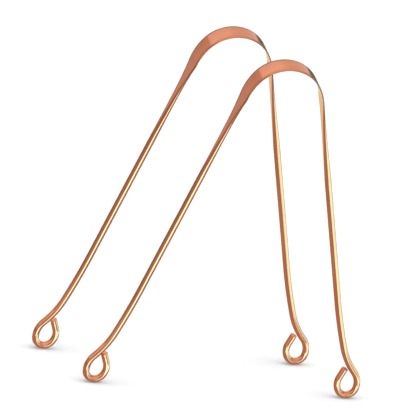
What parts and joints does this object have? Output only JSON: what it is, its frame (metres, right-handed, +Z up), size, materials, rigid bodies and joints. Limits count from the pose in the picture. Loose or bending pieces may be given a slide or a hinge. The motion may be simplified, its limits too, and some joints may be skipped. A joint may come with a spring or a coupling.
{
  "type": "tongue scraper",
  "caption": "Copper wire tongue scrapers, each with a pressed arched blade that tapers to springy round arms ending in teardrop eyes.",
  "frame": {"origin": "centre of the pair's footprint, on the surface that the eyes stand on", "axes": "+Z up from the eyes to the blades, +X from the left eyes to the right eyes, +Y from the front scraper to the rear one"},
  "size_m": [0.1174, 0.0314, 0.1327],
  "materials": {
    "pressed_copper": "satin, with fine brushed lines along the strip",
    "drawn_copper": "polished"
  },
  "bodies": {
    "rear_crown": {"rear_blade": "pressed_copper", "rear_left_shoulder": "pressed_copper", "rear_right_shoulder": "pressed_copper"},
    "rear_left_side": {"rear_left_taper": "pressed_copper", "rear_left_arm": "drawn_copper", "rear_left_eye": "drawn_copper"},
    "rear_right_side": {"rear_right_taper": "pressed_copper", "rear_right_arm": "drawn_copper", "rear_right_eye": "drawn_copper"},
    "front_crown": {"front_blade": "pressed_copper", "front_left_shoulder": "pressed_copper", "front_right_shoulder": "pressed_copper"},
    "front_left_side": {"front_left_taper": "pressed_copper", "front_left_arm": "drawn_copper", "front_left_eye": "drawn_copper"},
    "front_right_side": {"front_right_taper": "pressed_copper", "front_right_arm": "drawn_copper", "front_right_eye": "drawn_copper"}
  },
  "joints": [
    {"name": "rear_left_flex", "type": "hinge", "parent": "rear_crown", "child": "rear_left_side", "pos_m": [-0.01972, 0.01145, 0.12359], "axis": [0, 1, 0], "range_deg": [-6, 6], "stiffness_Nm_per_rad": 0.8, "deforming": ["rear_left_shoulder"]},
    {"name": "rear_right_flex", "type": "hinge", "parent": "rear_crown", "child": "rear_right_side", "pos_m": [0.00592, 0.01145, 0.12359], "axis": [0, -1, 0], "range_deg": [-6, 6], "stiffness_Nm_per_rad": 0.8, "deforming": ["rear_right_shoulder"]},
    {"name": "front_slide", "type": "slide", "parent": "rear_crown", "child": "front_crown", "axis": [0, -1, 0], "range_m": [0, 0.12]},
    {"name": "front_left_flex", "type": "hinge", "parent": "front_crown", "child": "front_left_side", "pos_m": [-0.00592, -0.01145, 0.12359], "axis": [0, 1, 0], "range_deg": [-6, 6], "stiffness_Nm_per_rad": 0.8, "deforming": ["front_left_shoulder"]},
    {"name": "front_right_flex", "type": "hinge", "parent": "front_crown", "child": "front_right_side", "pos_m": [0.01972, -0.01145, 0.12359], "axis": [0, -1, 0], "range_deg": [-6, 6], "stiffness_Nm_per_rad": 0.8, "deforming": ["front_right_shoulder"]}
  ]
}
